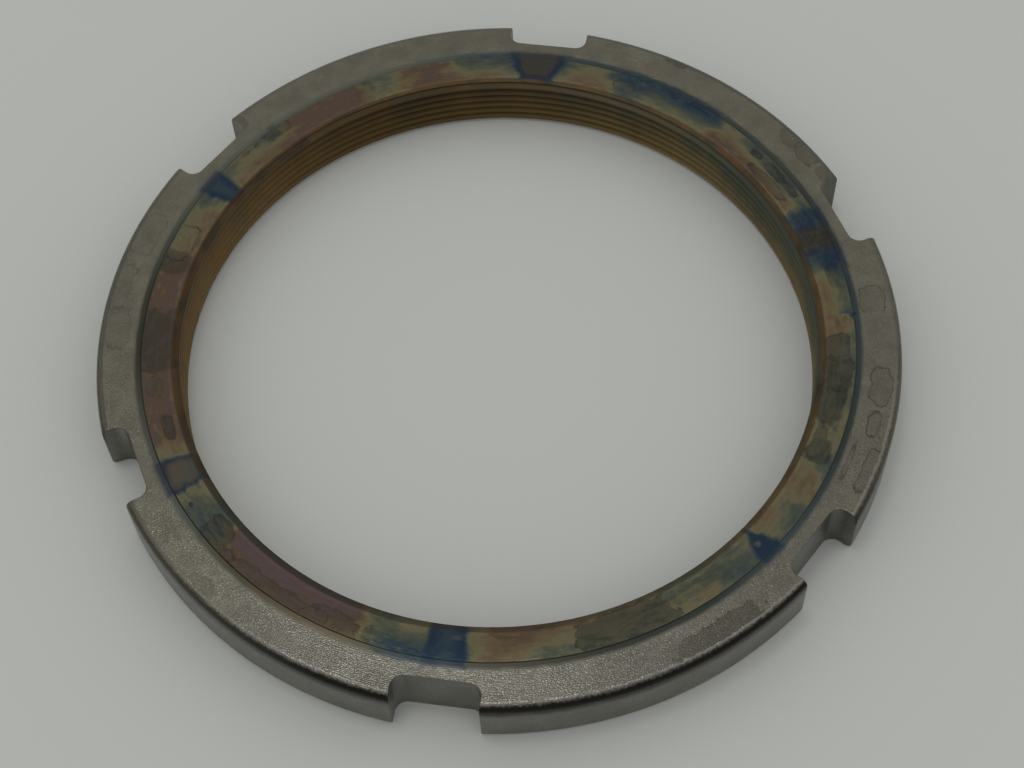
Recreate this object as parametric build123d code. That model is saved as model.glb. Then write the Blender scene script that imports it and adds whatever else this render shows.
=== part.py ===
from build123d import *
import math
import os

# Slotted ring nut for clamping a bearing on its shaft. It is one flat turned ring
# with a fine internal screw thread and six wrench slots milled across its rim.
# It lies on its underside. The origin is the centre of that face and +Z runs up
# the thread axis. All lengths are millimetres.

# Thread, right hand, with flanks at 60 degrees. Its crests stand at the bore wall,
# and its groove reaches out to the nominal diameter.
thread_nominal_diameter = 100.0
thread_pitch = 1.5
thread_start_height = 1.3
HALF_FLANK_ANGLE = 30.0
THREAD_HEIGHT_PER_PITCH = math.sqrt(3) / 2
CREST_SHARE_OF_HEIGHT = 5 / 8
ROOT_FLAT_PER_PITCH = 1 / 8
CUTTER_OVERLAP_PER_PITCH = 1 / 8
TURNS_BEYOND_EACH_END = 2

# The ring's section.
ring_wall = 12.0
face_to_face = 9.8
top_corner_radius = 1.3
bottom_corner_radius = 1.0

# A cone at each end of the bore lets the thread start clean.
countersink_clearance = 0.5
countersink_face_angle = 30.0

# A low raised lip on the top face, left where the turned inner annulus meets the
# blasted outer one. It has a steep inner flank and a long gentle outer one.
lip_height = 0.2
lip_inner_flank = 0.2
lip_crest_width = 0.15
lip_outer_flank = 0.75
lip_to_slot_floor = 1.9

# Wrench slots with a flat floor, rounded root corners and broken edges.
slot_count = 6
first_slot_azimuth = 30.0
slot_width = 12.8
slot_depth = 4.1
slot_root_radius = 1.8
slot_edge_radius = 0.2
cutter_overrun = 4.0
ROUND_LIMIT = 0.49

# Radii and heights that follow from the sizes above.
nominal_radius = thread_nominal_diameter / 2
thread_depth = CREST_SHARE_OF_HEIGHT * THREAD_HEIGHT_PER_PITCH * thread_pitch
bore_radius = nominal_radius - thread_depth
rim_radius = nominal_radius + ring_wall
countersink_radius = nominal_radius + countersink_clearance
countersink_depth = (countersink_radius - bore_radius) * math.tan(math.radians(countersink_face_angle))
slot_floor_radius = rim_radius - slot_depth
lip_outer_radius = slot_floor_radius - lip_to_slot_floor
lip_crest_outer_radius = lip_outer_radius - lip_outer_flank
lip_crest_inner_radius = lip_crest_outer_radius - lip_crest_width
lip_inner_radius = lip_crest_inner_radius - lip_inner_flank
overall_height = face_to_face + lip_height


def ring_section():
    """Half section of the ring, in the plane of radius and height."""
    with BuildSketch(Plane.XZ) as section:
        with BuildLine():
            underside = Line((countersink_radius, 0), (rim_radius - bottom_corner_radius, 0))
            low_round = RadiusArc(underside @ 1, (rim_radius, bottom_corner_radius), -bottom_corner_radius)
            rim = Line(low_round @ 1, (rim_radius, face_to_face - top_corner_radius))
            top_of_round = (rim_radius - top_corner_radius, face_to_face)
            high_round = RadiusArc(rim @ 1, top_of_round, -top_corner_radius)
            Polyline(
                high_round @ 1,
                (lip_outer_radius, face_to_face),
                (lip_crest_outer_radius, overall_height),
                (lip_crest_inner_radius, overall_height),
                (lip_inner_radius, face_to_face),
                (countersink_radius, face_to_face),
                (bore_radius, face_to_face - countersink_depth),
                (bore_radius, countersink_depth),
                underside @ 0,
            )
        make_face()
    return section.sketch


def slot_cutters():
    """One block for each slot, with the two corners at its floor rounded."""
    reach = slot_depth + cutter_overrun
    blank = Pos(slot_floor_radius, 0) * Rectangle(reach, slot_width, align=(Align.MIN, Align.CENTER))
    floor_corners = blank.vertices().group_by(Axis.X)[0]
    root_radius = min(slot_root_radius, slot_depth, ROUND_LIMIT * slot_width)
    block = extrude(fillet(floor_corners, root_radius), overall_height)
    return PolarLocations(0, slot_count, first_slot_azimuth) * block


def groove_half_width(radius):
    """Half the width of the thread's groove where it is this far from the axis."""
    flank = (nominal_radius - radius) * math.tan(math.radians(HALF_FLANK_ANGLE))
    return thread_pitch * ROOT_FLAT_PER_PITCH / 2 + flank


def thread_cutter():
    """The thread's groove, swept along its helix and past both ends of the bore."""
    mouth = bore_radius - thread_pitch * CUTTER_OVERLAP_PER_PITCH
    start = thread_start_height - TURNS_BEYOND_EACH_END * thread_pitch
    turns = math.ceil(overall_height / thread_pitch) + 2 * TURNS_BEYOND_EACH_END
    route = Helix(thread_pitch, turns * thread_pitch, bore_radius, center=(0, 0, start))
    with BuildSketch(Plane.XZ) as profile:
        with BuildLine():
            Polyline(
                (mouth, start - groove_half_width(mouth)),
                (nominal_radius, start - groove_half_width(nominal_radius)),
                (nominal_radius, start + groove_half_width(nominal_radius)),
                (mouth, start + groove_half_width(mouth)),
                close=True,
            )
        make_face()
    return sweep(profile.sketch, path=route, is_frenet=True)


def lock_nut():
    ring = revolve(ring_section(), Axis.Z)
    cutters = slot_cutters()
    slotted = ring - cutters
    slot_edges = new_edges(ring, *cutters, combined=slotted)
    return fillet(slot_edges, slot_edge_radius) - thread_cutter()


os.makedirs("parts", exist_ok=True)
nut = lock_nut()
export_step(nut, "parts/lock_nut.step")
print("bore radius", round(bore_radius, 4), "countersink depth", round(countersink_depth, 4))
print("volume", round(nut.volume, 2), "box", nut.bounding_box())
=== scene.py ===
# %% [markdown]
# # A slotted ring nut that locks a bearing on its shaft
# The real object is one flat steel ring. It is turned on a lathe, threaded inside, blasted grey on
# its upper face and milled with six wrench slots. Heat has coloured its smooth inner ring in straw,
# purple and blue. The measured model of it is loaded first, and all here is made to that size.

# %% Load the measured model
import math

import bmesh
import bpy
from mathutils import Matrix, Vector


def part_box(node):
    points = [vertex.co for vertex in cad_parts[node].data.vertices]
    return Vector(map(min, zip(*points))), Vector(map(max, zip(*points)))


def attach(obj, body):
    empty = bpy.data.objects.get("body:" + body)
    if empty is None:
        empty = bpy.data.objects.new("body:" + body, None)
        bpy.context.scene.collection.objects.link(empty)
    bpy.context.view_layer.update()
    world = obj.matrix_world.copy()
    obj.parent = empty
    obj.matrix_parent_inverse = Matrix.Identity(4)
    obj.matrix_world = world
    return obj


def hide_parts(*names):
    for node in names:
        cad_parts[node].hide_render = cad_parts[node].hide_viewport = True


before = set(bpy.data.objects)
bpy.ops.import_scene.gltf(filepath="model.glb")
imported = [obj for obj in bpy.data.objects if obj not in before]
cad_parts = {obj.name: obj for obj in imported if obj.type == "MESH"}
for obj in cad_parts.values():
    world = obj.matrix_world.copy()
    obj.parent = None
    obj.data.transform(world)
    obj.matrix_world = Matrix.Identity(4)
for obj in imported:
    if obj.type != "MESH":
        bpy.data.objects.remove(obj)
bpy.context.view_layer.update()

# %% [markdown]
# ## Sizes
# The outer diameter and the height are read from the measured model. The rest are the sizes of a
# nut with a fine 100 mm thread, written in millimetres and turned into Blender's metres with MM.

# %% Sizes of the nut
MM = 0.001
low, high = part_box("lock_nut")
RIM_RADIUS = (high[0] - low[0]) / 2
LIP_HEIGHT = 0.2 * MM
LIP_TOP = high[2]
FACE = LIP_TOP - LIP_HEIGHT

NOMINAL_RADIUS = 50.0 * MM
PITCH = 1.5 * MM
SHARP_V_HEIGHT = PITCH * math.sqrt(3) / 2
BORE_RADIUS = NOMINAL_RADIUS - 5 / 8 * SHARP_V_HEIGHT
COUNTERSINK_RADIUS = NOMINAL_RADIUS + 0.5 * MM
COUNTERSINK_SLOPE = math.radians(30)
COUNTERSINK_DEPTH = (COUNTERSINK_RADIUS - BORE_RADIUS) * math.tan(COUNTERSINK_SLOPE)

TOP_ROUND = 1.3 * MM
BOTTOM_ROUND = 1.0 * MM

SLOT_COUNT = 6
FIRST_SLOT = math.radians(30)
SLOT_WIDTH = 12.8 * MM
SLOT_DEPTH = 4.1 * MM
SLOT_ROOT_ROUND = 1.8 * MM
SLOT_EDGE_ROUND = 0.2 * MM
SLOT_FLOOR = RIM_RADIUS - SLOT_DEPTH

LIP_OUTER_FOOT = SLOT_FLOOR - 1.9 * MM
LIP_CREST_OUTER = LIP_OUTER_FOOT - 0.75 * MM
LIP_CREST_INNER = LIP_CREST_OUTER - 0.15 * MM
LIP_INNER_FOOT = LIP_CREST_INNER - 0.2 * MM
print("rim radius mm", round(RIM_RADIUS / MM, 3), "bore radius mm", round(BORE_RADIUS / MM, 3))

# %% [markdown]
# ## Helpers for modelling by hand
# An operator acts on everything that is selected, so each step starts from an empty selection and
# then picks edges or points by where they lie.


# %% Selection and modifier helpers
def clear_selection():
    if bpy.context.object and bpy.context.object.mode == "EDIT":
        bpy.ops.object.mode_set(mode="OBJECT")
    for thing in list(bpy.context.selected_objects):
        thing.select_set(False)


def select_only(thing):
    clear_selection()
    thing.select_set(True)
    bpy.context.view_layer.objects.active = thing


def start_edit(thing):
    select_only(thing)
    bpy.ops.object.mode_set(mode="EDIT")


def merge_points(threshold):
    bpy.ops.mesh.select_all(action="SELECT")
    bpy.ops.mesh.remove_doubles(threshold=threshold)


def pick(thing, kind, test):
    """Selects only the points or the edges of the edited mesh that pass the test."""
    bpy.ops.mesh.select_mode(type={"verts": "VERT", "edges": "EDGE"}[kind])
    bpy.ops.mesh.select_all(action="DESELECT")
    shape = bmesh.from_edit_mesh(thing.data)
    chosen = [item for item in getattr(shape, kind) if test(item)]
    for item in chosen:
        item.select_set(True)
    shape.select_flush_mode()
    bmesh.update_edit_mesh(thing.data)
    return len(chosen)


def finish_edit():
    bpy.ops.object.mode_set(mode="OBJECT")


def settle(thing):
    """Puts the object's place, turn and scale into its mesh."""
    select_only(thing)
    bpy.ops.object.transform_apply(location=True, rotation=True, scale=True)


def apply_modifier(thing, modifier):
    select_only(thing)
    bpy.ops.object.modifier_apply(modifier=modifier.name)


def cut_away(thing, cutter):
    """Takes the cutter's solid out of the thing and deletes the cutter."""
    modifier = thing.modifiers.new("cut", "BOOLEAN")
    modifier.operation = "DIFFERENCE"
    modifier.solver = "EXACT"
    modifier.object = cutter
    apply_modifier(thing, modifier)
    bpy.data.objects.remove(cutter, do_unlink=True)


# %% [markdown]
# ## The turned ring
# A lathe gives every ring the same section all the way round. So one flat half section is drawn
# first and then spun about the thread's axis. Its two outer corners are rounded, its two inner
# corners are cut away as countersinks, and four cuts down the face mark where the low lip stands.
# A cut with bisect is exact, where moving points about by hand would not be.

# %% Draw the half section
SPIN_STEPS = 180
CORNER_SEGMENTS = 6
TOLERANCE = 1e-7


def near(value, target):
    return abs(value - target) < 10 * TOLERANCE


def on_lip_crest(point):
    in_reach = LIP_CREST_INNER - TOLERANCE < point.co.x < LIP_CREST_OUTER + TOLERANCE
    return in_reach and near(point.co.z, FACE)


def slice_section(point, normal, keep_below=False):
    """Cuts the flat section along a line. keep_below drops what lies on the normal's side."""
    bpy.ops.mesh.select_all(action="SELECT")
    bpy.ops.mesh.bisect(plane_co=point, plane_no=normal, clear_outer=keep_below)


wall = RIM_RADIUS - BORE_RADIUS
clear_selection()
bpy.ops.mesh.primitive_plane_add(
    size=1, location=(BORE_RADIUS + wall / 2, 0, FACE / 2), rotation=(math.pi / 2, 0, 0)
)
nut = bpy.context.object
nut.name = "nut_ring"
nut.data.name = "nut_ring"
nut.scale = (wall, FACE, 1)
settle(nut)
start_edit(nut)
for corner_height, upward in ((FACE, 1), (0, -1)):
    normal = (-math.sin(COUNTERSINK_SLOPE), 0, upward * math.cos(COUNTERSINK_SLOPE))
    slice_section((COUNTERSINK_RADIUS, 0, corner_height), normal, keep_below=True)
for radius in (LIP_INNER_FOOT, LIP_CREST_INNER, LIP_CREST_OUTER, LIP_OUTER_FOOT):
    slice_section((radius, 0, 0), (1, 0, 0))
for corner_height, round_radius in ((0, BOTTOM_ROUND), (FACE, TOP_ROUND)):
    pick(nut, "verts", lambda v: near(v.co.x, RIM_RADIUS) and near(v.co.z, corner_height))
    bpy.ops.mesh.bevel(offset=round_radius, segments=CORNER_SEGMENTS, affect="VERTICES")
pick(nut, "verts", on_lip_crest)
bpy.ops.transform.translate(value=(0, 0, LIP_HEIGHT))
bpy.ops.mesh.select_all(action="SELECT")
bpy.ops.mesh.dissolve_faces()
finish_edit()
print("section points", len(nut.data.vertices), "faces", len(nut.data.polygons))

# %% Spin the section about the thread's axis
start_edit(nut)
bpy.ops.mesh.select_all(action="SELECT")
bpy.ops.mesh.delete(type="ONLY_FACE")
bpy.ops.mesh.select_all(action="SELECT")
bpy.ops.mesh.spin(steps=SPIN_STEPS, angle=2 * math.pi, center=(0, 0, 0), axis=(0, 0, 1))
merge_points(TOLERANCE)
bpy.ops.mesh.normals_make_consistent(inside=False)
finish_edit()
half_step = math.pi / SPIN_STEPS
nut.rotation_euler = (0, 0, half_step)
settle(nut)
print("ring points", len(nut.data.vertices), "faces", len(nut.data.polygons))

# %% [markdown]
# ## The wrench slots
# A milling cutter leaves a slot with a flat floor and rounded corners. One block of the slot's
# width is made, its two corners at the floor are bevelled round, and six turned copies of it are
# cut out of the ring. The ring was turned by half a step first, so that no line of its mesh lies
# beside a slot wall. The edges of each slot are then rounded a little, as deburring leaves them.


# %% Cut the six slots
CUTTER_OVERRUN = 4 * MM


def slot_block(azimuth):
    reach = SLOT_DEPTH + CUTTER_OVERRUN
    clear_selection()
    bpy.ops.mesh.primitive_cube_add(size=1, location=(SLOT_FLOOR + reach / 2, 0, FACE / 2))
    block = bpy.context.object
    block.scale = (reach, SLOT_WIDTH, 2 * LIP_TOP)
    settle(block)
    start_edit(block)
    pick(block, "edges", lambda e: all(near(v.co.x, SLOT_FLOOR) for v in e.verts)
         and near(e.verts[0].co.y, e.verts[1].co.y))
    bpy.ops.mesh.bevel(offset=SLOT_ROOT_ROUND, segments=CORNER_SEGMENTS, affect="EDGES")
    finish_edit()
    block.rotation_euler = (0, 0, azimuth)
    settle(block)
    return block


slot_azimuths = [FIRST_SLOT + math.tau * number / SLOT_COUNT for number in range(SLOT_COUNT)]
for azimuth in slot_azimuths:
    cut_away(nut, slot_block(azimuth))
print("slots at degrees", [round(math.degrees(a)) for a in slot_azimuths])

# %% Round the slots' edges
MERGE = 0.1 * MM


def in_slot(point):
    """True where a point lies in or on one of the slots."""
    for azimuth in slot_azimuths:
        along = point.x * math.cos(azimuth) + point.y * math.sin(azimuth)
        across = point.y * math.cos(azimuth) - point.x * math.sin(azimuth)
        if along > SLOT_FLOOR - 2 * TOLERANCE and abs(across) < SLOT_WIDTH / 2 + 2 * TOLERANCE:
            return True
    return False


def is_slot_wall(face):
    return abs(face.normal.z) < 0.01 and in_slot(face.calc_center_median())


start_edit(nut)
merge_points(MERGE)
edge_count = pick(nut, "edges", lambda e: sum(is_slot_wall(f) for f in e.link_faces) == 1)
bpy.ops.mesh.bevel(offset=SLOT_EDGE_ROUND, segments=3, affect="EDGES", clamp_overlap=False)
finish_edit()
print("slot edges rounded", edge_count)

# %% [markdown]
# ## The thread
# The thread is right handed: it climbs as it turns to the left. A tap cuts it as one groove with
# flanks at 60 degrees, so the same is done here. The groove's profile is swept by a Screw modifier,
# closed at both ends and cut out of the bore. Where it runs out through the countersinks it then
# leaves the thin crescents that a real thread has.

# %% Sweep the groove and cut it
GROOVE_OVERRUN = 0.22 * MM
GROOVE_FLAT = PITCH / 8
FLANK_SLOPE = math.radians(30)
THREAD_START = 1.3 * MM
SPARE_TURNS = 4


def groove_half_width(radius):
    return GROOVE_FLAT / 2 + (NOMINAL_RADIUS - radius) * math.tan(FLANK_SLOPE)


def thread_groove():
    inner = BORE_RADIUS - GROOVE_OVERRUN
    turns = math.ceil(LIP_TOP / PITCH + SPARE_TURNS)
    clear_selection()
    bpy.ops.mesh.primitive_plane_add(size=1, location=(0, 0, 0), rotation=(math.pi / 2, 0, 0))
    groove = bpy.context.object
    start_height = THREAD_START - SPARE_TURNS / 2 * PITCH
    groove.location = ((inner + NOMINAL_RADIUS) / 2, 0, start_height)
    groove.scale = (NOMINAL_RADIUS - inner, 2 * groove_half_width(inner), 1)
    settle(groove)
    start_edit(groove)
    pick(groove, "verts", lambda v: near(v.co.x, NOMINAL_RADIUS))
    squeeze = groove_half_width(NOMINAL_RADIUS) / groove_half_width(inner)
    bpy.ops.transform.resize(value=(1, 1, squeeze))
    bpy.ops.mesh.select_all(action="SELECT")
    bpy.ops.mesh.delete(type="ONLY_FACE")
    finish_edit()
    screw = groove.modifiers.new("thread", "SCREW")
    screw.steps = screw.render_steps = SPIN_STEPS
    screw.screw_offset = PITCH
    screw.iterations = turns
    apply_modifier(groove, screw)
    start_edit(groove)
    bpy.ops.mesh.select_all(action="SELECT")
    bpy.ops.mesh.fill_holes(sides=4)
    bpy.ops.mesh.select_all(action="SELECT")
    bpy.ops.mesh.normals_make_consistent(inside=False)
    finish_edit()
    groove.rotation_euler = (0, 0, half_step)
    settle(groove)
    return groove


cut_away(nut, thread_groove())
start_edit(nut)
merge_points(TOLERANCE)
open_edges = pick(nut, "edges", lambda e: len(e.link_faces) != 2)
finish_edit()
print("nut points", len(nut.data.vertices), "faces", len(nut.data.polygons))
print("open edges", open_edges)

# %% Smooth the rounds and keep the flats flat
SMOOTH_BELOW = math.radians(32)
select_only(nut)
bpy.ops.object.shade_smooth_by_angle(angle=SMOOTH_BELOW)
flats = nut.modifiers.new("flats", "WEIGHTED_NORMAL")
flats.keep_sharp = True
apply_modifier(nut, flats)
print("corners smoothed below degrees", round(math.degrees(SMOOTH_BELOW)))

# %% [markdown]
# ## Finishes
# Every finish is built from nodes that read the nut's own coordinates, so it stays on the steel
# from any side. A small class keeps the lines short: it adds a node, joins what it is given and
# hands back the output.


# %% A short way to write nodes
class Finish:
    """A node tree and the few kinds of node that the steel's finishes need."""

    def __init__(self, tree):
        self.tree = tree

    def node(self, kind, **settings):
        item = self.tree.nodes.new(kind)
        for name, value in settings.items():
            setattr(item, name, value)
        return item

    def feed(self, socket, value):
        if isinstance(value, bpy.types.NodeSocket):
            self.tree.links.new(value, socket)
        else:
            socket.default_value = value

    def math(self, operation, *values, clamp=False):
        item = self.node("ShaderNodeMath", operation=operation, use_clamp=clamp)
        for socket, value in zip(item.inputs, values):
            self.feed(socket, value)
        return item.outputs[0]

    def plus(self, first, second):
        return self.math("ADD", first, second)

    def minus(self, first, second):
        return self.math("SUBTRACT", first, second)

    def times(self, first, second):
        return self.math("MULTIPLY", first, second)

    def over(self, first, second):
        return self.math("DIVIDE", first, second)

    def step(self, value, start, end, low=0.0, high=1.0):
        """Rises smoothly from low to high as value goes from start to end."""
        item = self.node("ShaderNodeMapRange", interpolation_type="SMOOTHSTEP")
        for socket, given in zip(item.inputs, (value, start, end, low, high)):
            self.feed(socket, given)
        return item.outputs[0]

    def noise(self, place, size, detail=2.0, roughness=0.5):
        """Noise from 0 to 1 about one half, with features of the given size in metres."""
        item = self.node("ShaderNodeTexNoise")
        self.feed(item.inputs["Vector"], place)
        item.inputs["Scale"].default_value = 1 / size
        item.inputs["Detail"].default_value = detail
        item.inputs["Roughness"].default_value = roughness
        return item.outputs["Fac"]

    def ramp(self, value, stops):
        item = self.node("ShaderNodeValToRGB")
        band = item.color_ramp
        while len(band.elements) < len(stops):
            band.elements.new(1.0)
        for element, (position, color) in zip(band.elements, stops):
            element.position = position
            element.color = (*color, 1)
        self.feed(item.inputs[0], value)
        return item.outputs[0]

    def mix(self, amount, first, second):
        item = self.node("ShaderNodeMix", data_type="RGBA")
        colors = [socket for socket in item.inputs if socket.type == "RGBA"]
        self.feed(item.inputs[0], amount)
        for socket, value in zip(colors, (first, second)):
            self.feed(socket, (*value, 1) if isinstance(value, tuple) else value)
        return [socket for socket in item.outputs if socket.type == "RGBA"][0]

    def group(self, group, *values):
        item = self.node("ShaderNodeGroup", node_tree=group)
        for socket, value in zip(item.inputs, values):
            self.feed(socket, value)
        return item.outputs


def new_group(name, numbers_in, numbers_out):
    """An empty node group that takes and gives the named numbers."""
    group = bpy.data.node_groups.new(name, "ShaderNodeTree")
    for label in numbers_in:
        group.interface.new_socket(label, in_out="INPUT", socket_type="NodeSocketFloat")
    for label in numbers_out:
        group.interface.new_socket(label, in_out="OUTPUT", socket_type="NodeSocketFloat")
    return group, Finish(group)


# %% [markdown]
# ### Where a point lies on the ring
# Marks on a turned face are easiest to place by their angle round it and their distance from the
# axis. This group works out both, in degrees and millimetres, and the height too. Angles are
# counted from TINT_ZERO. It also gives a place that changes faster across the ring than along it,
# so noise read there comes out as long soft streaks that follow the ring.

# %% Angle and radius
TINT_ZERO = 10.7
ACROSS_STRETCH = 2.4
BORE, MOUTH, RIM_EDGE = BORE_RADIUS / MM, COUNTERSINK_RADIUS / MM, RIM_RADIUS / MM
LIP_START, LIP_CREST, LIP_END = LIP_INNER_FOOT / MM, LIP_CREST_OUTER / MM, LIP_OUTER_FOOT / MM
ROUND_START = (RIM_RADIUS - TOP_ROUND) / MM


def ring_place():
    group, recipe = new_group("ring_place", (), ("Angle", "Radius", "Height"))
    group.interface.new_socket("Along", in_out="OUTPUT", socket_type="NodeSocketVector")
    place = recipe.node("ShaderNodeTexCoord").outputs["Object"]
    parts = recipe.node("ShaderNodeSeparateXYZ")
    recipe.feed(parts.inputs[0], place)
    x, y, z = parts.outputs
    turned_by = recipe.math("DEGREES", recipe.math("ARCTAN2", y, x))
    angle = recipe.math("FLOORED_MODULO", recipe.minus(turned_by, TINT_ZERO), 360.0)
    from_axis = recipe.math("SQRT", recipe.plus(recipe.times(x, x), recipe.times(y, y)))
    radius = recipe.over(from_axis, MM)
    height = recipe.over(z, MM)
    along = recipe.node("ShaderNodeCombineXYZ")
    crosswise = recipe.times(from_axis, ACROSS_STRETCH)
    for socket, value in zip(along.inputs, (x, y, crosswise)):
        recipe.feed(socket, value)
    end = recipe.node("NodeGroupOutput")
    for socket, value in zip(end.inputs, (angle, radius, height, along.outputs[0])):
        recipe.feed(socket, value)
    return group


RING_PLACE = ring_place()
print("lip from mm", round(LIP_START, 2), "to", round(LIP_END, 2))

# %% [markdown]
# ### Heat tint
# Hot steel grows a thin clear oxide, and its colour depends only on how thick that is. So the tint
# is one number from 0 to 1, and one ramp turns it into brown, purple, blue, teal, straw and gold.
# Where the number changes, the colours between come by themselves, as they do on the real ring.
# RING_TINTS holds, for one angle after another, the tint beside the lip and the tint at the bore.

# %% The tint's colours and their names
BROWN, DUSK, PLUM, BLUE, SEA, TEAL, SAGE, STRAW, GOLD, PINK, MAUVE = (
    0.0, 0.13, 0.25, 0.4, 0.48, 0.57, 0.65, 0.73, 0.82, 0.91, 1.0
)
TINT_COLORS = [
    (BROWN, (0.054, 0.048, 0.036)),
    (DUSK, (0.078, 0.074, 0.062)),
    (PLUM, (0.055, 0.050, 0.058)),
    (BLUE, (0.030, 0.052, 0.086)),
    (SEA, (0.052, 0.078, 0.094)),
    (TEAL, (0.090, 0.108, 0.090)),
    (SAGE, (0.125, 0.135, 0.092)),
    (STRAW, (0.200, 0.185, 0.108)),
    (GOLD, (0.190, 0.138, 0.078)),
    (PINK, (0.135, 0.095, 0.068)),
    (MAUVE, (0.148, 0.103, 0.104)),
]
RING_TINTS = [
    (0, TEAL, GOLD), (4, SAGE, GOLD), (9, SEA, STRAW), (12, BLUE, SEA), (20.5, BLUE, SEA),
    (24, SAGE, GOLD), (28, TEAL, GOLD), (35, TEAL, PINK), (39, SAGE, PINK), (42.5, STRAW, PINK),
    (45, TEAL, GOLD), (48, 0.44, STRAW), (54, 0.44, STRAW), (58, SEA, STRAW), (62, SEA, TEAL),
    (67, SAGE, GOLD), (73, STRAW, GOLD), (76, SEA, STRAW), (84, SEA, STRAW), (88, TEAL, GOLD),
    (91, TEAL, GOLD), (95, STRAW, GOLD), (100, PINK, PINK), (111, SAGE, STRAW), (114, PINK, PINK),
    (126, PINK, PINK), (131, TEAL, PINK), (137, STRAW, GOLD), (141, SAGE, GOLD),
    (148.5, TEAL, STRAW), (152, STRAW, GOLD), (158, STRAW, GOLD), (163, PINK, PINK),
    (186, PINK, PINK), (197, PINK, PINK), (199.5, STRAW, GOLD), (208.5, STRAW, STRAW),
    (212, TEAL, SAGE), (216, TEAL, TEAL), (221, PINK, MAUVE), (233, PINK, MAUVE),
    (244, GOLD, MAUVE), (249, TEAL, SAGE), (254, SEA, STRAW), (264.5, STRAW, STRAW),
    (269, GOLD, PINK), (277, SAGE, GOLD), (290, STRAW, STRAW), (301, STRAW, SAGE),
    (306, TEAL, SAGE), (308.5, TEAL, SAGE), (317.5, SAGE, GOLD), (321.5, TEAL, STRAW),
    (326, GOLD, GOLD), (331.5, TEAL, STRAW), (336, STRAW, STRAW), (345, SAGE, STRAW),
    (355, SAGE, GOLD), (358.5, GOLD, GOLD),
]
print("tints set at", len(RING_TINTS), "places round the ring")


# %% Tint level round the ring
AT_LIP, AT_BORE = 1, 2


def level_curve(recipe, angle, column):
    """A curve from the angle round the ring to the tint's level."""
    item = recipe.node("ShaderNodeFloatCurve")
    curve = item.mapping.curves[0]
    curve.points[0].location = (0, RING_TINTS[0][column])
    curve.points[1].location = (1, RING_TINTS[0][column])
    for row in RING_TINTS[1:]:
        point = curve.points.new(row[0] / 360, row[column])
        point.handle_type = "AUTO_CLAMPED"
    item.mapping.update()
    recipe.feed(item.inputs["Value"], recipe.over(angle, 360.0))
    return item.outputs[0]


# %% [markdown]
# Beside each wrench slot the heat left one stronger mark: a stripe across the ring with deep blue
# edges. A group draws one stripe. Each row of STRIPES gives the angle of its middle, half its width
# at the bore and at the lip, the width of its edge, all in degrees, and the tints of its edge and
# its middle. The last number says how strongly the edge's tint also closes the stripe at its ends,
# or, when it is below zero, only at the bore.

# %% One heat stripe
RING_WIDTH_DEGREES = 6.2
END_MARGIN = 0.08
FADE_START, FADE_END = -0.6, 0.5
MIDDLE_START, MIDDLE_END = 0.3, 1.8


def heat_stripe():
    names = ("Level", "Angle", "Across", "Centre", "Half at bore", "Half at lip", "Edge",
             "Edge tint", "Middle tint", "Closed")
    group, recipe = new_group("heat_stripe", names, ("Level",))
    given = recipe.node("NodeGroupInput").outputs
    level, angle, across, centre, at_bore, at_lip, edge, edge_tint, middle_tint, closed = given[:10]
    half = recipe.plus(at_bore, recipe.times(recipe.minus(at_lip, at_bore), across))
    depth = recipe.minus(half, recipe.math("ABSOLUTE", recipe.minus(angle, centre)))
    open_at_lip = recipe.math("LESS_THAN", closed, 0.0)
    from_lip = recipe.plus(recipe.minus(1.0, across), open_at_lip)
    from_ends = recipe.plus(recipe.math("MINIMUM", across, from_lip), END_MARGIN)
    closing = recipe.math("MAXIMUM", recipe.math("ABSOLUTE", closed), 0.01)
    from_ends = recipe.over(recipe.times(from_ends, RING_WIDTH_DEGREES), closing)
    inside = recipe.step(depth, FADE_START, FADE_END)
    middle_depth = recipe.math("MINIMUM", depth, from_ends)
    middle_from, middle_to = recipe.times(edge, MIDDLE_START), recipe.times(edge, MIDDLE_END)
    middle = recipe.step(middle_depth, middle_from, middle_to)
    stripe = recipe.plus(edge_tint, recipe.times(recipe.minus(middle_tint, edge_tint), middle))
    change = recipe.times(recipe.minus(stripe, level), inside)
    end = recipe.node("NodeGroupOutput")
    recipe.feed(end.inputs[0], recipe.plus(level, change))
    return group


HEAT_STRIPE = heat_stripe()
STRIPES = [
    (15.7, 3.2, 2.8, 1.3, BLUE, BROWN, 0.0),
    (80.4, 2.9, 4.6, 1.0, BLUE, DUSK, -1.8),
    (145.1, 1.7, 2.4, 1.2, BLUE, SEA, 0.5),
    (204.6, 2.7, 3.3, 0.7, BLUE, DUSK, 0.9),
    (259.8, 3.0, 3.2, 1.9, BLUE, 0.475, 0.0),
    (313.4, 0.0, 2.2, 3.0, BLUE, BLUE, 0.0),
]
print("stripes at degrees", [stripe[0] for stripe in STRIPES])

# %% [markdown]
# ### Stains
# Drops of oil dried on the ring. Each left a patch that is a little darker, with a thin dark line
# round it. A group draws one patch as an uneven rounded square and gives its inside and outline.
# Each row of the lists below is one patch: its angle and radius, half its width in degrees, half
# its depth in millimetres, and how strong its inside and its outline are.

# %% One dried stain
OUTLINE_WIDTH = 0.16
SQUARENESS = 3.0


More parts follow.
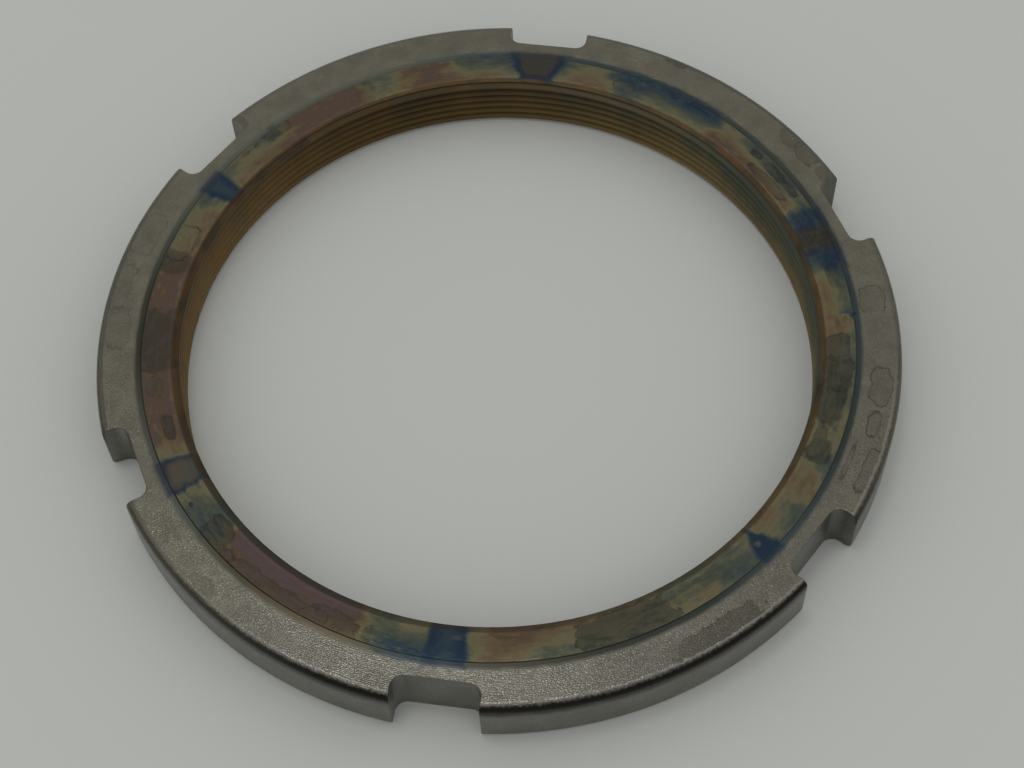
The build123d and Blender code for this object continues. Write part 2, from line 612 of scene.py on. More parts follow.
def dried_stain():
    names = ("Angle", "Radius", "Wobble", "At angle", "At radius",
             "Half angle", "Half radius", "Fill", "Line", "Softness")
    group, recipe = new_group("dried_stain", names, ("Fill", "Line"))
    given = recipe.node("NodeGroupInput").outputs
    angle, radius, wobble, at_angle, at_radius, half_angle, half_radius = given[:7]
    fill_strength, line_strength, softness = given[7:10]
    along = recipe.over(recipe.minus(angle, at_angle), half_angle)
    across = recipe.over(recipe.minus(radius, at_radius), half_radius)
    powers = [recipe.math("POWER", recipe.math("ABSOLUTE", part), SQUARENESS)
              for part in (along, across)]
    distance = recipe.plus(recipe.math("POWER", recipe.plus(*powers), 1 / SQUARENESS), wobble)
    inside = recipe.step(distance, recipe.plus(1.0, softness), recipe.minus(1.0, softness))
    from_outline = recipe.math("ABSOLUTE", recipe.minus(distance, 1.0))
    outline = recipe.step(from_outline, recipe.over(OUTLINE_WIDTH, half_radius), 0.0)
    end = recipe.node("NodeGroupOutput")
    recipe.feed(end.inputs[0], recipe.times(inside, fill_strength))
    recipe.feed(end.inputs[1], recipe.times(outline, line_strength))
    return group


DRIED_STAIN = dried_stain()

# %% Where the stains lie
TINTED_RING_STAINS = [
    (26.8, 53.7, 1.5, 0.6, 0.6, 0.7), (31.0, 53.6, 2.4, 0.8, 0.75, 0.5),
    (30.0, 51.5, 4.4, 0.8, 0.4, 0.8), (35.9, 53.7, 1.2, 0.6, 0.8, 0.7),
    (7.5, 53.0, 2.2, 0.7, 0.35, 0.4), (15.8, 52.9, 3.0, 3.4, 0.6, 0.0),
    (64.0, 52.3, 2.0, 1.1, 0.1, 0.6), (112.3, 53.0, 1.7, 2.6, 0.25, 0.3),
    (129.8, 54.2, 2.8, 1.2, 0.5, 0.5), (134.4, 54.2, 0.5, 0.35, 0.5, 0.4),
    (137.0, 54.3, 0.8, 0.35, 0.5, 0.4), (158.0, 53.2, 4.0, 1.9, 0.0, 0.8),
    (162.3, 53.0, 2.4, 2.6, 0.6, 0.3), (178.5, 52.9, 6.4, 3.4, 0.75, 0.5),
    (187.5, 53.0, 1.9, 1.3, 0.35, 0.3), (195.5, 52.0, 2.4, 0.9, 0.8, 0.3),
    (210.6, 53.7, 0.35, 0.3, 1.0, 0.6), (217.4, 53.0, 2.6, 2.2, 0.75, 0.7),
    (231.5, 54.7, 10.0, 2.0, 0.45, 0.6), (241.5, 54.2, 4.5, 2.3, 0.45, 0.6),
    (247.5, 53.7, 0.7, 1.6, 0.3, 0.7), (287.4, 52.9, 8.0, 2.8, 0.75, 0.7),
    (301.0, 52.2, 5.0, 1.0, 0.2, 0.3), (332.8, 52.3, 2.4, 2.0, 0.75, 0.3),
    (334.5, 51.7, 3.4, 1.0, 0.5, 0.4), (343.5, 51.9, 5.2, 2.3, 0.9, 0.2),
    (348.4, 52.3, 3.4, 2.3, 0.85, 0.8), (353.2, 52.1, 2.8, 1.9, 0.7, 0.8),
]
PALE_SPOTS = [
    (204.6, 52.8, 2.5, 2.0, 0.95, 0.0), (261.2, 51.4, 0.9, 0.4, 0.7, 0.0),
    (313.0, 52.8, 0.45, 0.4, 1.0, 0.0), (62.8, 51.9, 1.0, 0.6, 0.6, 0.0),
    (33.2, 53.4, 1.0, 0.7, 0.5, 0.0), (348.8, 53.3, 1.2, 0.7, 0.45, 0.0),
    (352.4, 53.3, 1.4, 0.7, 0.5, 0.0), (355.0, 53.2, 0.9, 0.4, 0.5, 0.0),
    (307.0, 53.7, 0.5, 0.3, 0.7, 0.0), (186.0, 53.8, 1.6, 0.5, 0.5, 0.0),
    (320.0, 52.6, 1.2, 0.9, 0.3, 0.0),
]
BLASTED_FACE_STAINS = [
    (2.3, 58.3, 2.4, 2.0, 0.15, 0.7), (31.0, 60.6, 2.3, 1.9, 0.3, 0.6),
    (34.9, 60.5, 1.8, 1.8, 0.35, 0.6), (26.6, 60.4, 1.6, 1.6, 0.3, 0.2),
    (287.0, 58.8, 7.0, 2.6, 0.14, 0.0), (240.0, 58.4, 5.0, 2.0, 0.12, 0.0),
    (58.0, 61.0, 1.7, 0.9, 0.5, 0.3), (133.5, 60.2, 1.4, 2.0, 0.35, 0.3),
    (158.0, 59.3, 4.0, 2.1, 0.08, 0.4), (168.0, 60.2, 4.2, 1.9, 0.12, 0.4),
    (176.0, 59.0, 3.8, 2.0, 0.15, 0.4), (222.5, 60.0, 2.5, 1.3, 0.2, 0.1),
    (232.5, 59.3, 3.8, 1.9, 0.2, 0.1), (250.0, 59.6, 2.4, 1.3, 0.25, 0.1),
    (299.6, 60.1, 6.6, 2.1, 0.6, 0.6), (332.6, 60.1, 3.8, 1.0, 0.2, 0.8),
    (340.3, 58.7, 2.1, 1.0, 0.15, 0.8), (346.6, 58.9, 3.2, 1.7, 0.2, 0.8),
    (333.0, 57.0, 3.0, 0.35, 0.2, 0.6),
]
print("stains", len(TINTED_RING_STAINS) + len(BLASTED_FACE_STAINS))


# %% [markdown]
# ### Shares round the ring
# Many things on the ring change slowly with the angle round it. Each of them is a list of pairs, an
# angle in degrees and a level, and a ramp fills in what lies between.


# %% Helpers for the finishes
def new_finish(name):
    material = bpy.data.materials.new(name)
    material.use_nodes = True
    shader = material.node_tree.nodes["Principled BSDF"]
    shader.inputs["Metallic"].default_value = 1.0
    return material, Finish(material.node_tree), shader


def object_place(recipe):
    return recipe.node("ShaderNodeTexCoord").outputs["Object"]


def centred(recipe, noise, reach):
    """Turns noise about one half into a shift of up to reach either way."""
    return recipe.times(recipe.minus(noise, 0.5), 2 * reach)


def round_the_ring(recipe, angle, levels):
    """A grey level that changes with the angle round the ring."""
    stops = [(at / 360, (level, level, level)) for at, level in levels]
    return recipe.ramp(recipe.over(angle, 360.0), stops)


def bumps(recipe, shader, height, depth):
    bump = recipe.node("ShaderNodeBump")
    bump.inputs["Distance"].default_value = depth
    recipe.feed(bump.inputs["Height"], height)
    recipe.feed(shader.inputs["Normal"], bump.outputs[0])


# %% [markdown]
# ### The top face
# One finish covers the whole upper face, because the tint crosses the lip and fades out on the
# blasted part. Its parts all read the same places and the same few noises, so these are made once.
# Three masks say how far a point is over the start of the lip, beyond the lip and on the outer
# round, where painted shade darkens it.

# %% What all parts of the top face share
STREAK_SIZE, SMALL_SIZE, FINE_SIZE = 5 * MM, 2.2 * MM, 0.5 * MM
WOBBLE_SIZE, PATCH_SIZE, GRAIN_SIZE = 1.8 * MM, 2.5 * MM, 0.24 * MM


class TopFace:
    """The places, noises and masks of the top face."""

    def __init__(self, recipe):
        self.place = object_place(recipe)
        self.angle, self.radius, _, self.along = recipe.group(RING_PLACE)
        self.streaks = recipe.noise(self.along, STREAK_SIZE, detail=3)
        self.small = recipe.noise(self.along, SMALL_SIZE, detail=3, roughness=0.6)
        self.fine = recipe.noise(self.place, FINE_SIZE, detail=2)
        self.grain = recipe.noise(self.place, GRAIN_SIZE, detail=1)
        self.wobble = centred(recipe, recipe.noise(self.place, WOBBLE_SIZE, detail=3), 0.5)
        self.patchy = recipe.step(recipe.noise(self.place, PATCH_SIZE), 0.3, 0.6, 0.4, 1.0)
        self.onto_lip = recipe.step(self.radius, LIP_START - 0.15, LIP_START + 0.05)
        self.lip_edge = recipe.plus(self.radius, centred(recipe, self.small, 0.22))
        self.onto_face = recipe.step(self.lip_edge, LIP_CREST + 0.3, LIP_END + 0.3)
        self.ragged_radius = recipe.plus(self.radius, centred(recipe, self.fine, 0.3))
        # Mask for the painted shade, a dark reflection painted on the outer round.
        self.on_round = recipe.step(self.ragged_radius, ROUND_START + 0.45, RIM_EDGE - 0.4)

    def share(self, recipe, levels):
        return round_the_ring(recipe, self.angle, levels)

    def stains(self, recipe, stains, softness):
        """The insides and the outlines of all the stains in a list."""
        fill, line = 0.0, 0.0
        for stain in stains:
            one_fill, one_line = recipe.group(
                DRIED_STAIN, self.angle, self.radius, self.wobble, *stain, softness
            )
            fill = recipe.math("MAXIMUM", one_fill, fill)
            line = recipe.math("MAXIMUM", one_line, line)
        return fill, line


# %% [markdown]
# The tint's level follows one curve beside the lip and another at the bore. Noise bends both a
# little, so that no edge between two colours is straight, and the stripes are laid over them.

# %% Level of the tint
TINT_BAND = (50.6, 54.3)
ANGLE_BEND, RADIUS_BEND, STRIPE_BEND = 3.0, 1.0, 0.7
LEVEL_DRIFT, STRIPE_DRIFT, FINE_DRIFT = 0.15, 0.05, 0.035


def tint_level(recipe, face):
    bent_angle = recipe.plus(face.angle, centred(recipe, face.streaks, ANGLE_BEND))
    bent_radius = recipe.plus(face.radius, centred(recipe, face.small, RADIUS_BEND))
    inner = level_curve(recipe, bent_angle, AT_BORE)
    outer = level_curve(recipe, bent_angle, AT_LIP)
    outward = recipe.step(bent_radius, *TINT_BAND)
    level = recipe.plus(inner, recipe.times(recipe.minus(outer, inner), outward))
    level = recipe.plus(level, centred(recipe, face.small, LEVEL_DRIFT))
    stripe_angle = recipe.plus(face.angle, centred(recipe, face.small, STRIPE_BEND))
    across = recipe.step(face.radius, BORE, LIP_START)
    for stripe in STRIPES:
        level = recipe.group(HEAT_STRIPE, level, stripe_angle, across, *stripe)[0]
    level = recipe.plus(level, centred(recipe, face.small, STRIPE_DRIFT))
    return recipe.plus(level, centred(recipe, face.fine, FINE_DRIFT))


# %% [markdown]
# The stains on the tinted ring hide most of the tint under a dull crust. A few small spots are
# paler than what lies round them.

# %% Colour of the tinted ring
CRUST_TINTS = [(0.046, 0.047, 0.038), (0.078, 0.077, 0.063)]
PALE_TINTS = [(0.150, 0.112, 0.086), (0.115, 0.124, 0.110)]
OUTLINE_TINT = (0.030, 0.032, 0.030)
CRUST_COVER, PALE_COVER, OUTLINE_COVER = 0.9, 0.8, 0.8
CRUST_SOFTNESS, PALE_SOFTNESS = 0.12, 0.45


def tinted_color(recipe, face, level):
    tint = recipe.ramp(level, TINT_COLORS)
    fill, line = face.stains(recipe, TINTED_RING_STAINS, CRUST_SOFTNESS)
    pale, _ = face.stains(recipe, PALE_SPOTS, PALE_SOFTNESS)
    mixed = recipe.step(face.small, 0.35, 0.65)
    crust = recipe.mix(mixed, *CRUST_TINTS)
    tint = recipe.mix(recipe.times(fill, CRUST_COVER), tint, crust)
    pale_tint = recipe.mix(mixed, *PALE_TINTS)
    tint = recipe.mix(recipe.times(pale, PALE_COVER), tint, pale_tint)
    line = recipe.times(line, recipe.times(face.patchy, OUTLINE_COVER))
    return recipe.mix(line, tint, OUTLINE_TINT)


# %% [markdown]
# Blasting leaves fine pits with bright edges, and a greyer steel along a part of the ring. The dark
# pits and bright peaks are partly real grain and partly painted glints: their strength is one of
# the shares, strongest where the lamp's glints fall.

# %% Colour of the blasted steel
BLASTED_STEEL = (0.206, 0.196, 0.147)
MOTTLE_SIZE, MOTTLE_SHARES = 3.5 * MM, (0.86, 1.12)
GREY_STEEL = (0.186, 0.184, 0.176)
GREY_SHARE = [(0, 0.0), (212, 0.0), (235, 0.38), (290, 0.38), (310, 0.1), (330, 0.0), (360, 0.0)]
PIT_STEEL, PIT_COVER = (0.104, 0.098, 0.086), 0.48
PEAK_STEEL, PEAK_COVER = (0.312, 0.300, 0.278), 0.4
# Partly painted glints: the grain's strength round the ring follows where the lamp's glints fall.
GRAIN_AND_GLINT_SHARE = [
    (0, 0.5), (60, 0.3), (120, 0.3), (170, 0.4), (205, 0.5), (236, 0.6), (250, 0.55), (270, 0.3),
    (288, 0.3), (305, 0.9), (330, 0.9), (360, 0.5),
]
STAINED_STEEL, STAIN_COVER, STAIN_SOFTNESS = (0.070, 0.067, 0.052), 0.9, 0.1
OUTLINED_STEEL = (0.065, 0.062, 0.050)


def blasted_color(recipe, face):
    mottle = recipe.noise(face.place, MOTTLE_SIZE, detail=6, roughness=0.68)
    darker, lighter = (tuple(share * part for part in BLASTED_STEEL) for share in MOTTLE_SHARES)
    steel = recipe.mix(recipe.step(mottle, 0.3, 0.7), darker, lighter)
    steel = recipe.mix(face.share(recipe, GREY_SHARE), steel, GREY_STEEL)
    # Grain strength by angle, partly real grain and partly painted glints.
    grain_and_glint = face.share(recipe, GRAIN_AND_GLINT_SHARE)
    grain_and_glint = recipe.times(grain_and_glint, recipe.step(face.small, 0.3, 0.7, 0.5, 1.3))
    pits = recipe.times(recipe.step(face.grain, 0.52, 0.36), grain_and_glint)
    peaks = recipe.times(recipe.step(face.grain, 0.5, 0.66), grain_and_glint)
    steel = recipe.mix(recipe.times(pits, PIT_COVER), steel, PIT_STEEL)
    steel = recipe.mix(recipe.times(peaks, PEAK_COVER), steel, PEAK_STEEL)
    fill, line = face.stains(recipe, BLASTED_FACE_STAINS, STAIN_SOFTNESS)
    steel = recipe.mix(recipe.times(fill, STAIN_COVER), steel, STAINED_STEEL)
    return recipe.mix(recipe.times(line, face.patchy), steel, OUTLINED_STEEL)


# %% [markdown]
# The low lip is coloured by itself: olive, blue or tan by turns and darker in some places than in
# others. Along a part of it a line of painted shade lies in the crease at its inner foot.

# %% Colour of the lip
LIP_OLIVE = (0.188, 0.179, 0.130)
LIP_BLUE = (0.124, 0.176, 0.176)
LIP_TAN = (0.225, 0.186, 0.116)
LIP_SHADE = (0.012, 0.012, 0.010)
LIP_BLUE_SHARE = [
    (0, 1.0), (15, 0.8), (30, 0.3), (45, 0.6), (62, 1.0), (90, 0.9), (105, 0.2), (150, 0.3),
    (180, 0.1), (210, 0.4), (235, 0.0), (256, 0.9), (270, 0.0), (290, 0.4), (315, 0.9), (340, 0.8),
    (360, 1.0),
]
LIP_TAN_SHARE = [
    (0, 0.0), (212, 0.0), (230, 0.8), (248, 0.8), (254, 0.0), (262, 0.3), (280, 0.0), (360, 0.0),
]
LIP_LIGHTNESS = [
    (0, 0.46), (15, 0.34), (35, 0.50), (60, 0.50), (80, 0.62), (105, 1.0), (135, 1.0), (150, 0.74),
    (168, 0.37), (180, 0.28), (195, 0.58), (212, 0.70), (225, 0.44), (242, 0.74), (270, 0.44),
    (285, 0.27), (303, 0.32), (316, 0.55), (333, 0.34), (360, 0.46),
]
# Painted shade in the crease at the lip's inner foot, set round the ring.
LIP_FOOT_SHADE = [(0, 0.0), (190, 0.2), (208, 0.8), (292, 0.8), (312, 0.0), (360, 0.0)]


def lip_color(recipe, face):
    lip = recipe.mix(face.share(recipe, LIP_BLUE_SHARE), LIP_OLIVE, LIP_BLUE)
    lip = recipe.mix(face.share(recipe, LIP_TAN_SHARE), lip, LIP_TAN)
    lip = recipe.mix(face.share(recipe, LIP_LIGHTNESS), LIP_SHADE, lip)
    # Painted shade: a dark line in the crease at the lip's inner foot.
    from_foot = recipe.math("ABSOLUTE", recipe.minus(face.radius, LIP_START + 0.05))
    foot_shade_line = recipe.times(recipe.step(from_foot, 0.2, 0.08), face.share(recipe, LIP_FOOT_SHADE))
    return recipe.mix(foot_shade_line, lip, LIP_SHADE)


# %% [markdown]
# The countersink at the bore's mouth is brown, and grey along one stretch. The corner between the
# face and the outer round carries a painted highlight, and below it the round carries painted
# shade.

# %% Colours of the two edges
MOUTH_TINTS = [(0.054, 0.047, 0.032), (0.104, 0.062, 0.026)]
MOUTH_GREY = (0.048, 0.053, 0.041)
MOUTH_GREY_SHARE = [
    (0, 0.0), (195, 0.0), (210, 0.8), (243, 0.8), (256, 0.2), (290, 0.0), (360, 0.0),
]
MOUTH_COVER = [(0, 0.8), (90, 0.9), (180, 0.85), (243, 0.75), (260, 0.5), (300, 0.5), (340, 0.8)]
# Painted highlight: a bright line along the corner between the face and the outer round, its
# lightness set round the ring.
HIGHLIGHT_STEEL, HIGHLIGHT_COVER = (1.0, 0.97, 0.82), 0.8
HIGHLIGHT_LIGHTNESS = [
    (0, 0.19), (25, 0.17), (50, 0.13), (75, 0.20), (120, 0.20), (160, 0.14), (200, 0.12),
    (222, 0.22), (285, 0.27), (300, 0.32), (340, 0.32), (352, 0.21), (360, 0.19),
]
# Painted shade: the outer round and the rim's upper edge are darkened as a dark reflection, more on
# one side of the ring.
ROUND_PAINTED_SHADE = (0.024, 0.022, 0.018)
ROUND_SHADE_SHARE = [
    (0, 0.35), (25, 0.4), (50, 0.8), (80, 0.2), (125, 0.2), (150, 0.45), (215, 0.6), (245, 1.0),
    (320, 1.0), (338, 0.4), (360, 0.35),
]


def mouth_over(recipe, face, color):
    in_mouth = recipe.step(face.radius, MOUTH - 0.02, MOUTH - 0.25)
    mouth = recipe.mix(recipe.step(face.streaks, 0.38, 0.62), *MOUTH_TINTS)
    mouth = recipe.mix(face.share(recipe, MOUTH_GREY_SHARE), mouth, MOUTH_GREY)
    return recipe.mix(recipe.times(in_mouth, face.share(recipe, MOUTH_COVER)), color, mouth)


def outer_edge_over(recipe, face, color):
    highlight_tints = [(at / 360, tuple(light * part for part in HIGHLIGHT_STEEL))
                  for at, light in HIGHLIGHT_LIGHTNESS]
    highlight_steel = recipe.ramp(recipe.over(face.angle, 360.0), highlight_tints)
    # Painted highlight along the corner where the face turns into the outer round.
    from_corner = recipe.math("ABSOLUTE", recipe.minus(face.ragged_radius, ROUND_START + 0.3))
    color = recipe.mix(recipe.step(from_corner, 0.25, 0.1, 0.0, HIGHLIGHT_COVER), color, highlight_steel)
    # Painted shade on the outer round, standing in for a dark reflection.
    round_shade_cover = recipe.times(face.on_round, face.share(recipe, ROUND_SHADE_SHARE))
    return recipe.mix(round_shade_cover, color, ROUND_PAINTED_SHADE)


# %% [markdown]
# Now the parts are joined from the bore outward. Where the tint is blue it spills over the lip.

# %% Join the colours
SPILL_COVER = 0.75
SPILL_BAND = (56.7, 55.3)
SPILL_LEVELS = (0.62, 0.45)


def top_color(recipe, face):
    level = tint_level(recipe, face)
    tint = tinted_color(recipe, face, level)
    color = recipe.mix(face.onto_lip, tint, lip_color(recipe, face))
    color = mouth_over(recipe, face, color)
    color = recipe.mix(face.onto_face, color, blasted_color(recipe, face))
    near_lip = recipe.times(recipe.step(face.lip_edge, *SPILL_BAND), face.onto_lip)
    spill = recipe.times(near_lip, recipe.step(level, *SPILL_LEVELS))
    color = recipe.mix(recipe.times(spill, SPILL_COVER), color, tint)
    return outer_edge_over(recipe, face, color)


# %% [markdown]
# The lip and the bore's mouth are the roughest parts. The blasted part is dull because of the grain
# in its relief. The lathe's feed left faint lines on all of the face, and the grain lies over them.

# %% Roughness and relief of the top face
SMOOTH, ROUGHER_BY = 0.25, 0.25
TURNING_FEED = 0.29
LINES_ON_GRAIN, LINES_ON_TINT = 0.075, 0.025
RELIEF_DEPTH = 0.08 * MM


def top_roughness(recipe, face):
    near_mouth = recipe.step(face.radius, MOUTH + 0.5, MOUTH + 0.1)
    rough_parts = recipe.math("MAXIMUM", face.onto_lip, near_mouth)
    gloss_loss = recipe.minus(rough_parts, recipe.times(face.onto_face, 0.95))
    return recipe.plus(SMOOTH, recipe.times(gloss_loss, ROUGHER_BY))


def top_relief(recipe, face):
    line_radius = recipe.plus(face.radius, centred(recipe, face.small, 0.35))
    line_radius = recipe.plus(line_radius, centred(recipe, face.fine, 0.05))
    lines = recipe.math("SINE", recipe.times(line_radius, math.tau / TURNING_FEED))
    worn = recipe.step(recipe.noise(face.along, 1.1 * MM, detail=2), 0.3, 0.7, 0.3, 1.4)
    lines = recipe.times(lines, worn)
    blasted = recipe.plus(recipe.times(face.grain, 0.7), recipe.times(lines, LINES_ON_GRAIN))
    turned = recipe.plus(recipe.times(face.fine, 0.25), recipe.times(lines, LINES_ON_TINT))
    blasted = recipe.times(blasted, face.onto_face)
    turned = recipe.times(turned, recipe.minus(1.0, face.onto_face))
    return recipe.plus(blasted, turned)


# %% Finish of the top face
def top_face_finish():
    material, recipe, shader = new_finish("blasted_and_tinted_face")
    face = TopFace(recipe)
    recipe.feed(shader.inputs["Base Color"], top_color(recipe, face))
    recipe.feed(shader.inputs["Roughness"], top_roughness(recipe, face))
    bumps(recipe, shader, top_relief(recipe, face), RELIEF_DEPTH)
    print(material.name, "has", len(material.node_tree.nodes), "nodes")
    return material


# %% [markdown]
# ### Rim, slots and underside
# The rim was turned and the slots were milled. They were not blasted, so they are plainer, with
# dark specks and a fine grain. Near its upper edge the rim carries the same painted shade as the
# round above it, and in some stretches round the ring it is darkened by painted shade. The
# underside is hidden in use and is finished like the rim.

# %% Finish of the rim and the slots
RIM_STEELS = [(0.205, 0.203, 0.175), (0.25, 0.248, 0.22)]
RIM_SPECK = (0.110, 0.106, 0.088)
BLACK = (0.0, 0.0, 0.0)
# Painted shade: the rim is darkened toward black in some stretches round the ring.
PAINTED_RIM_LIGHTNESS = [(0, 0.78), (60, 0.85), (150, 1.0), (305, 1.0), (325, 0.78), (360, 0.78)]
RIM_EDGE_HEIGHT = (FACE - TOP_ROUND) / MM
RIM_ROUGHNESS, RIM_RELIEF = 0.36, 0.045 * MM


def rim_finish():
    material, recipe, shader = new_finish("milled_rim")
    place = object_place(recipe)
    angle, radius, height, _ = recipe.group(RING_PLACE)
    mottle = recipe.noise(place, 4 * MM, detail=4, roughness=0.6)
    steel = recipe.mix(recipe.step(mottle, 0.3, 0.7), *RIM_STEELS)
    specks = recipe.step(recipe.noise(place, 0.3 * MM, detail=1), 0.5, 0.3, 0.0, 0.45)
    steel = recipe.mix(specks, steel, RIM_SPECK)
    # Painted shade round the ring, darkening the rim's colour.
    steel = recipe.mix(round_the_ring(recipe, angle, PAINTED_RIM_LIGHTNESS), BLACK, steel)
    # Painted shade near the rim's upper edge, the same dark reflection as on the round above it.
    ragged_height = recipe.plus(height, centred(recipe, mottle, 0.8))
    near_edge = recipe.step(ragged_height, RIM_EDGE_HEIGHT - 2.0, RIM_EDGE_HEIGHT)
    outside = recipe.step(radius, SLOT_FLOOR / MM + 3.5, RIM_EDGE - 0.1)
    painted_edge_shade = recipe.times(near_edge, outside)
    painted_edge_shade = recipe.times(painted_edge_shade, round_the_ring(recipe, angle, ROUND_SHADE_SHARE))
    recipe.feed(shader.inputs["Base Color"], recipe.mix(painted_edge_shade, steel, ROUND_PAINTED_SHADE))
    shader.inputs["Roughness"].default_value = RIM_ROUGHNESS
    bumps(recipe, shader, recipe.noise(place, 0.22 * MM, detail=1), RIM_RELIEF)
    return material


# %% [markdown]
# ### The thread
# The bore was hot too. One side of it turned warm brown from bottom to top. The other is gold low
# down and olive grey near the top face, and one stretch is darker than the rest.

# %% Finish of the thread
WARM_TINTS = [
    (0.0, (0.205, 0.138, 0.056)), (0.4, (0.195, 0.124, 0.050)), (0.8, (0.146, 0.094, 0.044)),
    (1.0, (0.120, 0.088, 0.048)),
]
OLIVE_TINTS = [
    (0.0, (0.215, 0.160, 0.070)), (0.3, (0.170, 0.138, 0.068)), (0.55, (0.092, 0.100, 0.064)),
    (1.0, (0.080, 0.090, 0.070)),
]
OLIVE_SHARES = [(0, 0.9), (45, 0.9), (85, 0.1), (180, 0.0), (215, 0.3), (320, 0.9), (360, 0.9)]
THREAD_LIGHTNESS = [
    (0, 1.0), (62, 0.95), (84, 0.78), (104, 0.66), (122, 0.74), (142, 1.0), (360, 1.0),
]
THREAD_ROUGHNESS, THREAD_RELIEF = 0.48, 0.006 * MM


def thread_finish():
    material, recipe, shader = new_finish("tinted_thread")
    place = object_place(recipe)
    angle, _, height, along = recipe.group(RING_PLACE)
    broad = recipe.noise(along, 9 * MM, detail=4, roughness=0.6)
    patches = recipe.noise(along, 5 * MM, detail=3)
    cooler = recipe.plus(centred(recipe, broad, 0.6), recipe.over(height, FACE / MM))
    olive_share = round_the_ring(recipe, angle, OLIVE_SHARES)
    olive_share = recipe.math("ADD", olive_share, centred(recipe, patches, 0.9), clamp=True)
    warm, olive = recipe.ramp(cooler, WARM_TINTS), recipe.ramp(cooler, OLIVE_TINTS)
    color = recipe.mix(olive_share, warm, olive)
    shade = recipe.minus(1.0, round_the_ring(recipe, angle, THREAD_LIGHTNESS))
    recipe.feed(shader.inputs["Base Color"], recipe.mix(shade, color, BLACK))
    shader.inputs["Roughness"].default_value = THREAD_ROUGHNESS
    bumps(recipe, shader, recipe.noise(place, 0.4 * MM, detail=2), THREAD_RELIEF)
    return material


# %% Give each part of the ring its finish
FINISHES = [top_face_finish(), rim_finish(), thread_finish()]
TOP, RIM, THREAD = range(3)
FACING_UP, NEARLY_LEVEL = 0.1, 0.98
for finish in FINISHES:
    nut.data.materials.append(finish)


def finish_for(polygon):
    middle = polygon.center
    radius = math.hypot(middle.x, middle.y)
    in_top_cone = radius > BORE_RADIUS + 0.1 * MM and middle.z > FACE - COUNTERSINK_DEPTH
    if polygon.normal.z > FACING_UP and (radius > COUNTERSINK_RADIUS or in_top_cone):
        return TOP
    if radius < COUNTERSINK_RADIUS and abs(polygon.normal.z) < NEARLY_LEVEL:
        return THREAD
    return RIM


for polygon in nut.data.polygons:
    polygon.material_index = finish_for(polygon)
chosen = [polygon.material_index for polygon in nut.data.polygons]
counts = [chosen.count(number) for number in (TOP, RIM, THREAD)]
print("faces with top, rim and thread finish", counts)

# %% Hand the ring over
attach(nut, "root")
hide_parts("lock_nut")

# %% [markdown]
# ## Floor, light and camera
# The ring lies on a plain pale floor under one soft lamp. Bare steel shows the room it is in, so
# the room it shows is about as bright as the floor all round and a little brighter high up. What
# lights the floor is brighter and even, which keeps the shadow faint. The camera's place, turns and
# lens were fitted to the photograph.

# %% The floor
FLOOR_SIZE = 6.0
FLOOR_COLOR = (0.438, 0.449, 0.427)
clear_selection()
bpy.ops.mesh.primitive_plane_add(size=1, location=(0, 0, 0))
floor = bpy.context.object
floor.name = "floor"
floor.scale = (FLOOR_SIZE, FLOOR_SIZE, 1)
settle(floor)
floor_paint = bpy.data.materials.new("pale_floor")
floor_paint.use_nodes = True
floor_shader = floor_paint.node_tree.nodes["Principled BSDF"]
floor_shader.inputs["Base Color"].default_value = (*FLOOR_COLOR, 1)
floor_shader.inputs["Roughness"].default_value = 0.9
floor_shader.inputs["Specular IOR Level"].default_value = 0.1
floor.data.materials.append(floor_paint)

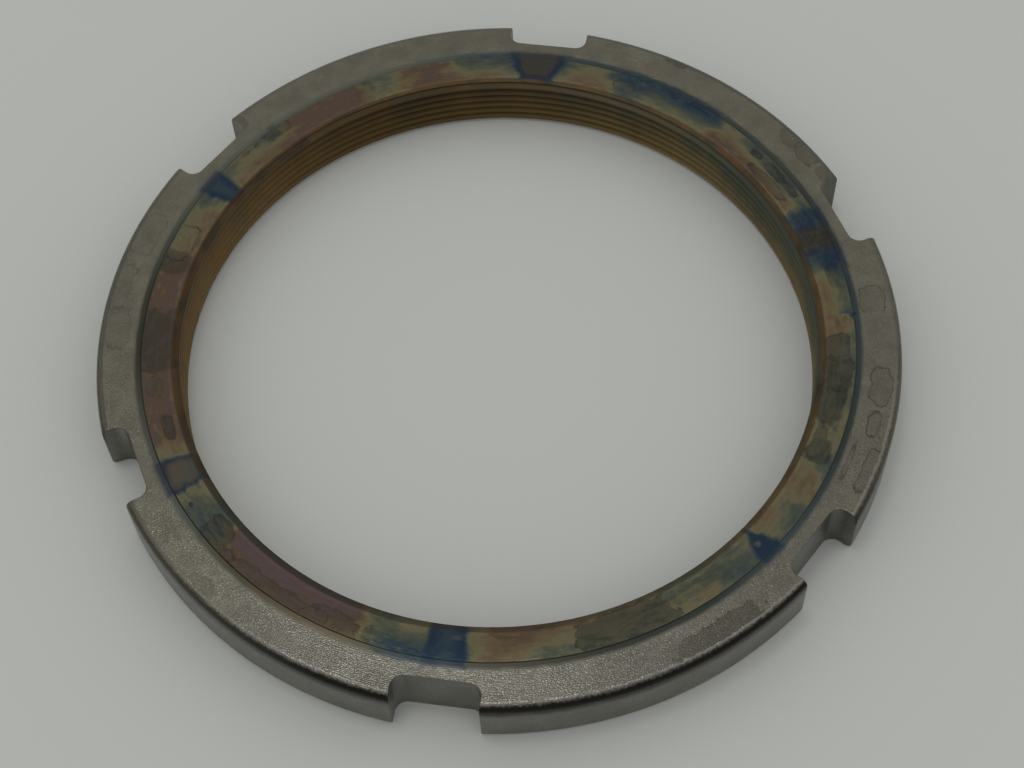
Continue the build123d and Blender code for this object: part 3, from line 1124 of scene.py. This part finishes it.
# %% The room's light
ROOM_STEPS = [(0.0, 0.42), (0.2, 0.38), (0.5, 0.40), (0.72, 0.50), (0.85, 0.45), (1.0, 0.48)]
DIFFUSE_LEVEL = 0.88
scene = bpy.context.scene
scene.view_settings.view_transform = "Standard"
world = bpy.data.worlds.new("room")
scene.world = world
world.use_nodes = True
room = Finish(world.node_tree)
room_light = world.node_tree.nodes["Background"]
room_parts = room.node("ShaderNodeSeparateXYZ")
room.feed(room_parts.inputs[0], room.node("ShaderNodeTexCoord").outputs["Generated"])
room_stops = [(place, (level, level, level)) for place, level in ROOM_STEPS]
room_shade = room.ramp(room_parts.outputs[2], room_stops)
rays = room.node("ShaderNodeLightPath").outputs
seen = room.math("MAXIMUM", rays["Is Camera Ray"], rays["Is Glossy Ray"])
seen = room.math("MAXIMUM", seen, rays["Is Transmission Ray"])
room.feed(room_light.inputs["Color"], room.mix(seen, (DIFFUSE_LEVEL,) * 3, room_shade))
room_light.inputs["Strength"].default_value = 1.0

# %% The soft lamp
LAMP_PLACE = (-0.14, 0.05, 1.0)
LAMP_SIZE = 0.2
LAMP_RADIANCE = 8.5


def soft_lamp(name, place, size, radiance):
    """A round lamp aimed at the ring. Its power is pi times its radiance times its area."""
    lamp = bpy.data.lights.new(name, "AREA")
    lamp.shape = "DISK"
    lamp.size = size
    lamp.energy = radiance * math.pi * math.pi * (size / 2) ** 2
    holder = bpy.data.objects.new(name, lamp)
    holder.location = place
    holder.rotation_euler = (-Vector(place)).to_track_quat("-Z", "Y").to_euler()
    scene.collection.objects.link(holder)
    print(name, "of", round(lamp.energy, 3), "watts")


soft_lamp("soft_lamp", LAMP_PLACE, LAMP_SIZE, LAMP_RADIANCE)

# %% Camera
CAMERA_AZIMUTH = math.radians(10.708)
CAMERA_ELEVATION = math.radians(58.885)
CAMERA_ROLL = math.radians(-2.997)
CAMERA_PLACE = (0.03234, -0.16116, 0.26626)
LENS = 69.45
SENSOR_WIDTH = 36
camera_data = bpy.data.cameras.new("camera")
camera_data.sensor_width = SENSOR_WIDTH
camera_data.lens = LENS
camera = bpy.data.objects.new("camera", camera_data)
turn = Matrix.Rotation(CAMERA_AZIMUTH, 4, "Z")
tilt = Matrix.Rotation(math.pi / 2 - CAMERA_ELEVATION, 4, "X")
roll = Matrix.Rotation(CAMERA_ROLL, 4, "Z")
camera.matrix_world = Matrix.Translation(CAMERA_PLACE) @ turn @ tilt @ roll
scene.collection.objects.link(camera)
scene.camera = camera
view_width = 2 * math.degrees(math.atan(SENSOR_WIDTH / 2 / LENS))
print("camera sees", round(view_width, 1), "degrees across")
